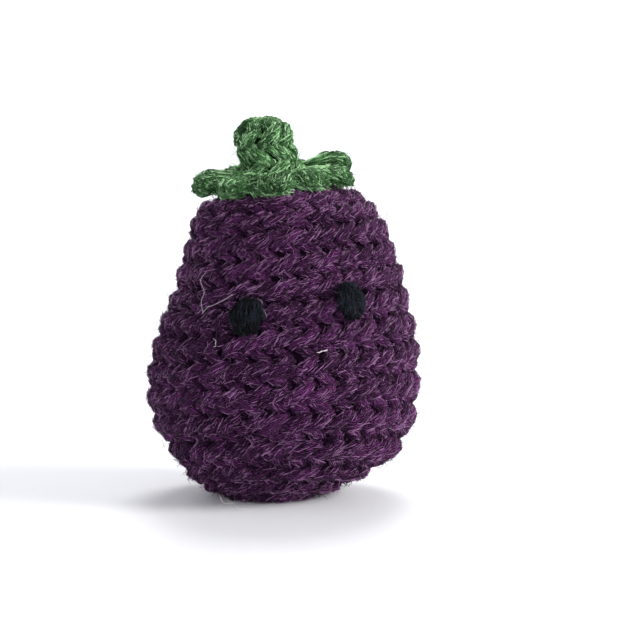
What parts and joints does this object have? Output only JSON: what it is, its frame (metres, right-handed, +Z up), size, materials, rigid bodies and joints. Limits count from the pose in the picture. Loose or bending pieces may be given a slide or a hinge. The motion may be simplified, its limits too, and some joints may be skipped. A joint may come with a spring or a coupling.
{
  "type": "crocheted eggplant toy",
  "caption": "Small stuffed crocheted toy in the shape of an eggplant, with a lobed leaf cap, a stubby stem and stitched eyes, standing on a small flat spot.",
  "frame": {"origin": "on the standing surface, under the middle of the toy", "axes": "+Z up from the base to the stem, -Y out of the face, +X to the right of a viewer who looks at the face"},
  "size_m": [0.0579, 0.0578, 0.081],
  "materials": {
    "purple_yarn": "fuzzy plied yarn, single crochet",
    "fibre_filling": "loose white fibre",
    "green_yarn": "fuzzy plied yarn, crocheted",
    "eye_thread": "satin-stitched thread, slightly shiny"
  },
  "bodies": {
    "root": {"body_shell": "purple_yarn", "stuffing": "fibre_filling", "leaf_cap": "green_yarn", "eye_left": "eye_thread", "eye_right": "eye_thread"}
  },
  "joints": []
}
